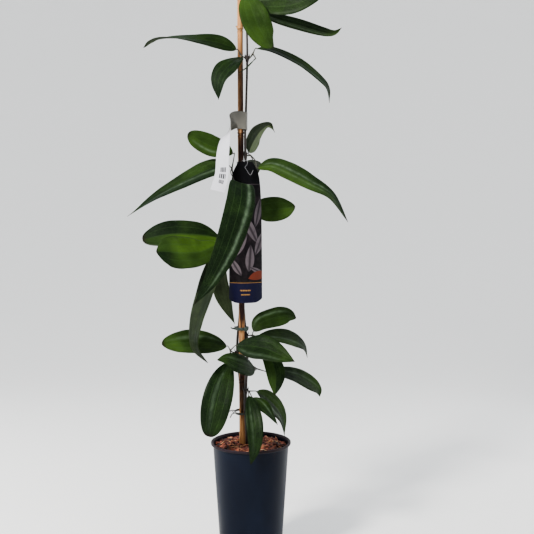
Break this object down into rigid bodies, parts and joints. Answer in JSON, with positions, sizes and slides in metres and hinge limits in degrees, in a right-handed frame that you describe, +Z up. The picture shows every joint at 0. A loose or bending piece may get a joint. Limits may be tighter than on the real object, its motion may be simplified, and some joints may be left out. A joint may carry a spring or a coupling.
{
  "type": "potted armand clematis",
  "caption": "Evergreen climber with long leathery three-part leaves, tied to a bamboo cane in a deep round nursery pot, with a hanging label and a wrap-round tag.",
  "frame": {"origin": "centre of the pot's base, on the surface that the pot stands on", "axes": "+Z up along the cane; -Y towards the front, the side of the hanging label; +X to the viewer's right"},
  "size_m": [0.3504, 0.2208, 1.058],
  "materials": {
    "pot_plastic": "satin, dark blue-black",
    "compost": "dark moist compost",
    "bark_chips": "rough, reddish brown",
    "bamboo": "smooth bamboo skin, tan with brown stretches",
    "stem_bark": "dull dark brown",
    "green_stalk": "dull green-brown",
    "leaf": "leathery, glossy dark green above, pale green below",
    "label_plastic": "thin printed plastic, gloss",
    "tag_paper": "white, slightly shiny",
    "tie_wire": "coated thin wire",
    "clip_plastic": "matt dark green"
  },
  "bodies": {
    "root": {"pot": "pot_plastic", "compost": "compost", "bark_mulch": "bark_chips", "bamboo_cane": "bamboo", "main_stem": "stem_bark", "second_stem": "stem_bark", "wire_twist_tie": "tie_wire", "cane_clip": "clip_plastic", "wrap_tag": "tag_paper", "picture_label": "label_plastic", "tier1_right_leaflet_1": "leaf", "tier1_right_leaflet_2": "leaf", "tier1_right_leaflet_3": "leaf", "tier1_right_stalk": "green_stalk", "tier2_left_leaflet_1": "leaf", "tier2_left_leaflet_2": "leaf", "tier2_left_leaflet_3": "leaf", "tier2_left_stalk": "green_stalk", "tier2_right_leaflet_1": "leaf", "tier2_right_leaflet_2": "leaf", "tier2_right_stalk": "green_stalk", "tier3_right_leaflet_1": "leaf", "tier3_right_leaflet_2": "leaf", "tier3_right_leaflet_3": "leaf", "tier3_right_stalk": "green_stalk", "tier4_left_leaflet_1": "leaf", "tier4_left_leaflet_2": "leaf", "tier4_left_leaflet_3": "leaf", "tier4_left_stalk": "green_stalk", "tier4_low_leaflet_1": "leaf", "tier4_low_stalk": "green_stalk", "tier4_right_leaflet_1": "leaf", "tier4_right_leaflet_2": "leaf", "tier4_right_stalk": "green_stalk", "tier5_left_leaflet_1": "leaf", "tier5_left_leaflet_2": "leaf", "tier5_left_leaflet_3": "leaf", "tier5_left_stalk": "green_stalk", "tier5_right_leaflet_1": "leaf", "tier5_right_leaflet_2": "leaf", "tier5_right_leaflet_3": "leaf", "tier5_right_stalk": "green_stalk", "tier6_left_leaflet_1": "leaf", "tier6_left_leaflet_2": "leaf", "tier6_left_stalk": "green_stalk", "tier6_right_leaflet_1": "leaf", "tier6_right_leaflet_2": "leaf", "tier6_right_stalk": "green_stalk", "tier7_left_leaflet_1": "leaf", "tier7_left_leaflet_2": "leaf", "tier7_left_leaflet_3": "leaf", "tier7_left_stalk": "green_stalk", "tier7_right_leaflet_1": "leaf", "tier7_right_leaflet_2": "leaf", "tier7_right_leaflet_3": "leaf", "tier7_right_stalk": "green_stalk", "tip_leaflet_1": "leaf", "tip_leaflet_2": "leaf", "tip_stalk": "green_stalk"}
  },
  "joints": []
}
